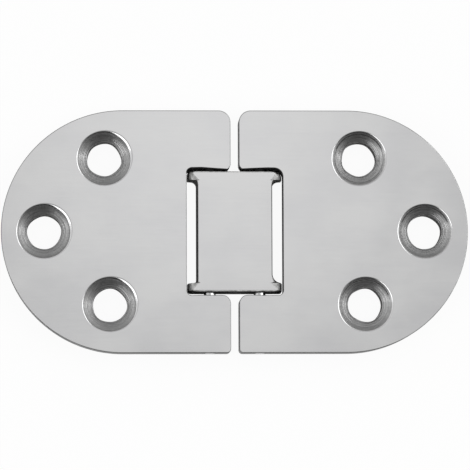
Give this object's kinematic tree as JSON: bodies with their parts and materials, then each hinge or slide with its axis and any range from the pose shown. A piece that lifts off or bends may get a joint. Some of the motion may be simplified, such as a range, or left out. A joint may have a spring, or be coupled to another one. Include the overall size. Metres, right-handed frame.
{
  "type": "flush flap hinge",
  "caption": "Flush flap hinge with half-round leaves, a recessed link on hidden pins, and countersunk screw holes.",
  "frame": {"origin": "middle of the hinge on its back, midway between the two pins", "axes": "+X along the hinge laid flat, towards the moving leaf; +Y along the pins; +Z out of the face with the countersinks"},
  "size_m": [0.075, 0.039, 0.0045],
  "materials": {
    "leaf_steel": "cast stainless steel, polished",
    "link_steel": "cast stainless steel, polished on top, as cast at the ends",
    "pin_steel": "drawn stainless steel rod, ground flush"
  },
  "bodies": {
    "fixed_leaf": {"leaf_left": "leaf_steel", "pin_left": "pin_steel"},
    "link": {"link": "link_steel"},
    "moving_leaf": {"leaf_right": "leaf_steel", "pin_right": "pin_steel"}
  },
  "joints": [
    {"name": "link_fold", "type": "hinge", "parent": "fixed_leaf", "child": "link", "pos_m": [-0.004, 0, 0.00225], "axis": [0, -1, 0], "range_deg": [0, 90]},
    {"name": "leaf_fold", "type": "hinge", "parent": "link", "child": "moving_leaf", "pos_m": [0.004, 0, 0.00225], "axis": [0, -1, 0], "range_deg": [0, 90]}
  ]
}
